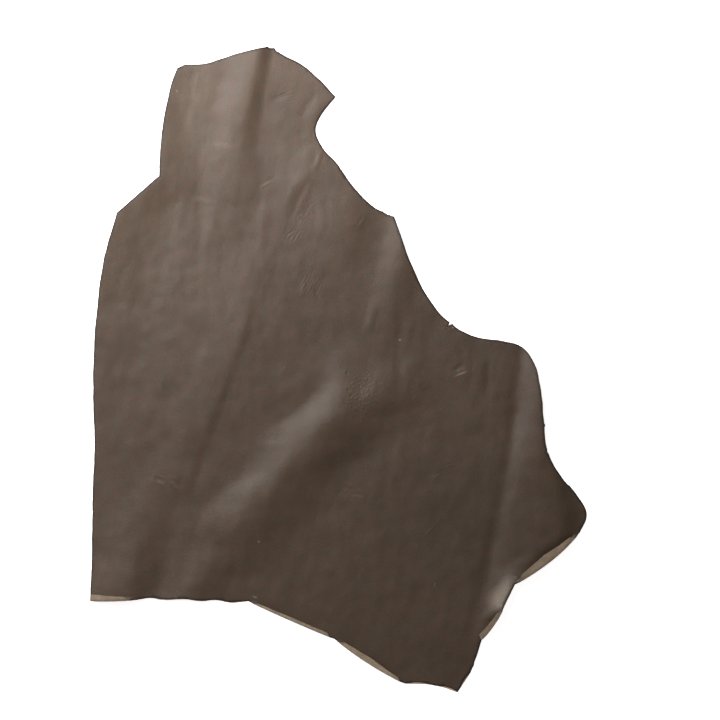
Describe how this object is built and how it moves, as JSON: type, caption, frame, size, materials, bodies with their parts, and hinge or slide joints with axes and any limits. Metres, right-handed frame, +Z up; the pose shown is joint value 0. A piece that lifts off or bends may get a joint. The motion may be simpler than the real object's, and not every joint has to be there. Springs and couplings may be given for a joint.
{
  "type": "cowhide leather piece",
  "caption": "Piece of dressed cowhide leather cut from one side of the hide, lying grain side up with soft folds and edges that curl over.",
  "frame": {"origin": "on the surface the hide lies on, under the middle of the hide's bounding box", "axes": "+Z up, out of the grain side; +Y along the hide's length, from the belly end to the neck; +X across the hide, to the side with the shoulder and flank corners"},
  "size_m": [0.6999, 0.911, 0.0234],
  "materials": {
    "hide_leather": "satin dark brown grain"
  },
  "bodies": {
    "root": {"hide": "hide_leather"}
  },
  "joints": []
}
